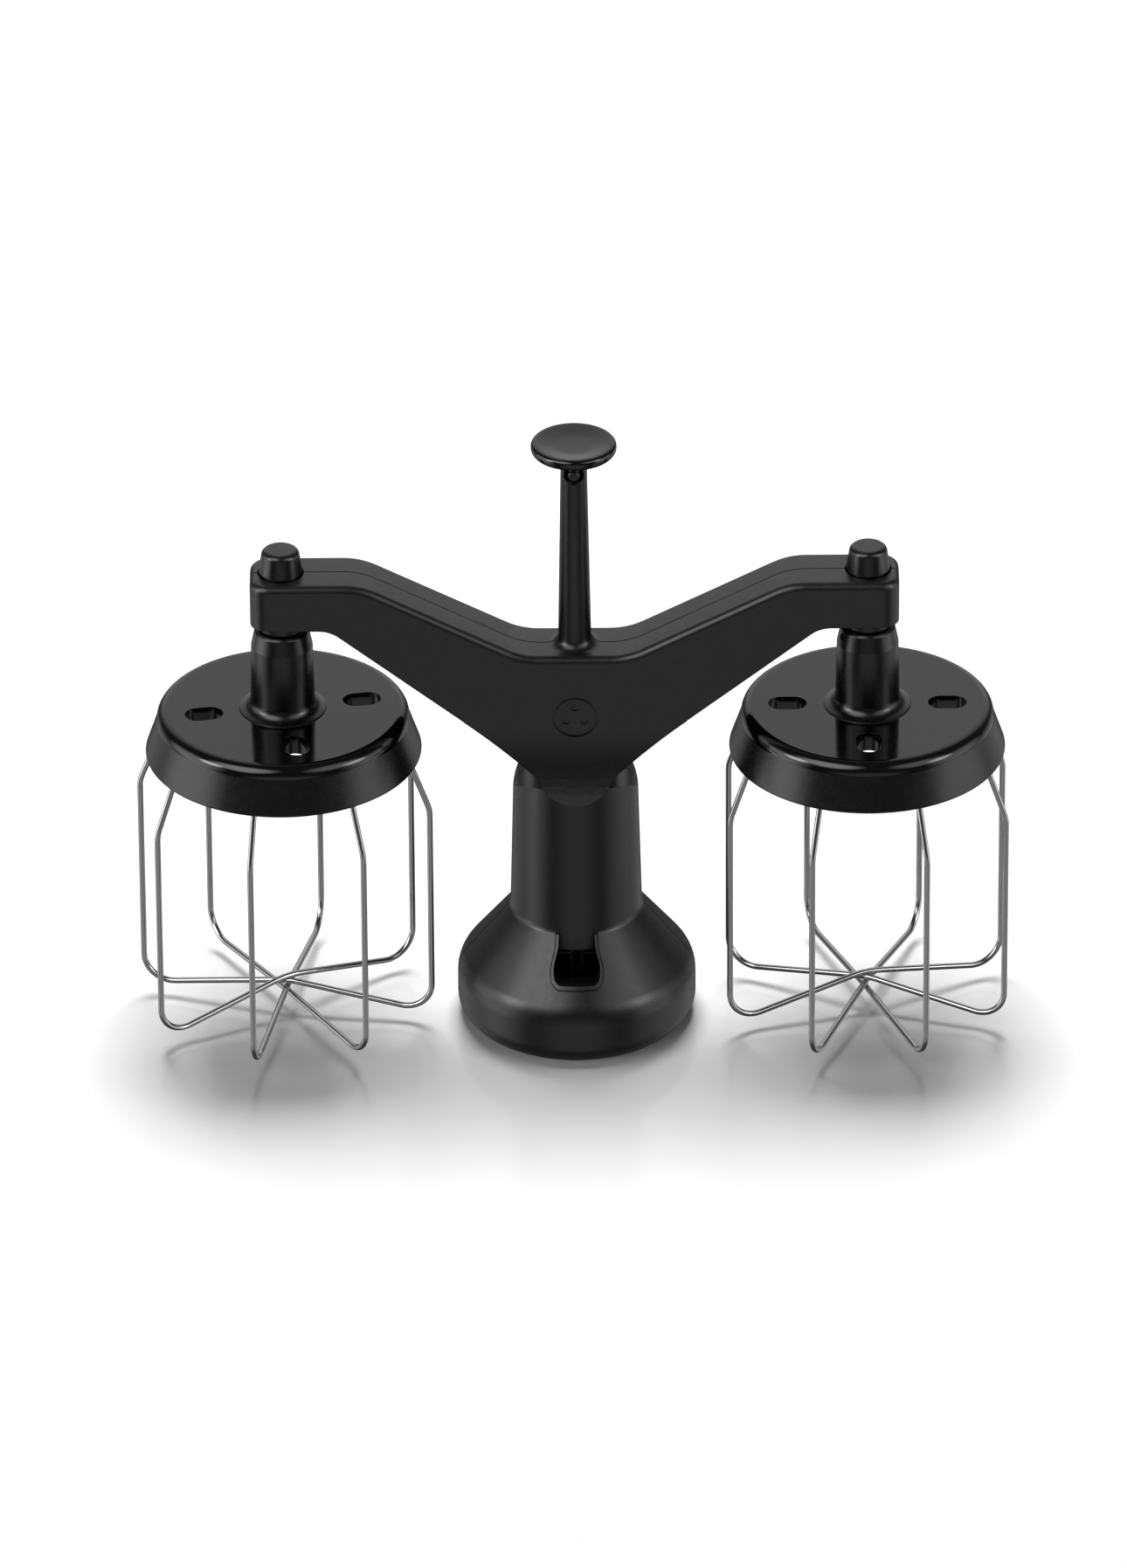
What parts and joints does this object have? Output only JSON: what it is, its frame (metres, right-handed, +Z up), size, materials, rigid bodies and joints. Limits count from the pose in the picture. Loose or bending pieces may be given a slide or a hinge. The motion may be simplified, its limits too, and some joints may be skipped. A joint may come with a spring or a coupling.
{
  "type": "planetary whisk attachment",
  "caption": "Whisk head for a stand mixer bowl: a bell foot and column carry a forked arm whose geared spindles spin balloon whisks of bent steel wire under round caps.",
  "frame": {"origin": "on the surface, under the centre of the bell foot", "axes": "+Z up along the column, +X along the right arm, -Y towards the front with the small window"},
  "size_m": [0.2153, 0.0732, 0.1598],
  "materials": {
    "housing_black": "satin moulded",
    "gloss_black": "polished moulded",
    "wire_steel": "polished stainless wire",
    "shaft_steel": "ground",
    "screw_steel": "zinc plated",
    "spring_steel": "drawn",
    "acetal": "moulded, natural white",
    "black_rubber": "matte"
  },
  "bodies": {
    "housing": {"front_housing": "housing_black", "rear_housing": "housing_black", "housing_screw_1": "screw_steel", "housing_screw_2": "screw_steel", "housing_screw_3": "screw_steel", "housing_screw_4": "screw_steel", "housing_screw_5": "screw_steel", "housing_screw_6": "screw_steel", "sun_bush": "acetal", "left_inner_bearing": "acetal", "left_outer_bearing": "acetal", "left_neck_bush": "housing_black", "left_button_spring": "spring_steel", "right_inner_bearing": "acetal", "right_outer_bearing": "acetal", "right_neck_bush": "housing_black", "right_button_spring": "spring_steel"},
    "sun": {"sun_gear": "acetal", "sun_socket": "acetal"},
    "drive_shaft": {"push_knob": "gloss_black", "drive_rod": "shaft_steel", "drive_lug": "housing_black"},
    "left_arm_shaft_body": {"left_arm_shaft": "acetal", "left_inner_pinion": "acetal"},
    "left_spindle_body": {"left_spindle": "shaft_steel", "left_spindle_gear": "acetal"},
    "left_whisk": {"left_whisk_cap": "gloss_black", "left_grip_ring": "black_rubber", "left_wire_lock_ring": "housing_black", "left_wire_1": "wire_steel", "left_wire_2": "wire_steel", "left_wire_3": "wire_steel", "left_wire_4": "wire_steel"},
    "left_button": {"left_eject_button": "gloss_black"},
    "right_arm_shaft_body": {"right_arm_shaft": "acetal", "right_inner_pinion": "acetal"},
    "right_spindle_body": {"right_spindle": "shaft_steel", "right_spindle_gear": "acetal"},
    "right_whisk": {"right_whisk_cap": "gloss_black", "right_grip_ring": "black_rubber", "right_wire_lock_ring": "housing_black", "right_wire_1": "wire_steel", "right_wire_2": "wire_steel", "right_wire_3": "wire_steel", "right_wire_4": "wire_steel"},
    "right_button": {"right_eject_button": "gloss_black"}
  },
  "joints": [
    {"name": "left_spindle_spin", "type": "hinge", "parent": "housing", "child": "left_spindle_body", "pos_m": [-0.072, 0, 0.1], "axis": [0, 0, 1], "continuous": true},
    {"name": "left_arm_shaft_spin", "type": "hinge", "parent": "housing", "child": "left_arm_shaft_body", "pos_m": [0, 0, 0.09121], "axis": [-0.9272, 0, 0.3746], "continuous": true},
    {"name": "left_whisk_pull", "type": "slide", "parent": "left_spindle_body", "child": "left_whisk", "axis": [0, 0, -1], "range_m": [0, 0.025]},
    {"name": "left_eject", "type": "slide", "parent": "housing", "child": "left_button", "axis": [0, 0, -1], "range_m": [0, 0.0025], "stiffness_N_per_m": 150, "springref_m": -0.004, "deforming": ["left_button_spring"]},
    {"name": "right_spindle_spin", "type": "hinge", "parent": "housing", "child": "right_spindle_body", "pos_m": [0.072, 0, 0.1], "axis": [0, 0, 1], "continuous": true},
    {"name": "right_arm_shaft_spin", "type": "hinge", "parent": "housing", "child": "right_arm_shaft_body", "pos_m": [0, 0, 0.09121], "axis": [0.9272, 0, 0.3746], "continuous": true},
    {"name": "right_whisk_pull", "type": "slide", "parent": "right_spindle_body", "child": "right_whisk", "axis": [0, 0, -1], "range_m": [0, 0.025]},
    {"name": "right_eject", "type": "slide", "parent": "housing", "child": "right_button", "axis": [0, 0, -1], "range_m": [0, 0.0025], "stiffness_N_per_m": 150, "springref_m": -0.004, "deforming": ["right_button_spring"]},
    {"name": "sun_spin", "type": "hinge", "parent": "housing", "child": "sun", "pos_m": [0, 0, 0.05], "axis": [0, 0, 1], "continuous": true},
    {"name": "drive_shaft_lift", "type": "slide", "parent": "housing", "child": "drive_shaft", "axis": [0, 0, 1], "range_m": [0, 0.15]}
  ],
  "couplings": [
    {"joint": "right_spindle_spin", "follows": "left_spindle_spin", "ratio": 1},
    {"joint": "left_arm_shaft_spin", "follows": "left_spindle_spin", "ratio": -1.75},
    {"joint": "right_arm_shaft_spin", "follows": "left_spindle_spin", "ratio": -1.75},
    {"joint": "sun_spin", "follows": "left_spindle_spin", "ratio": -1}
  ]
}
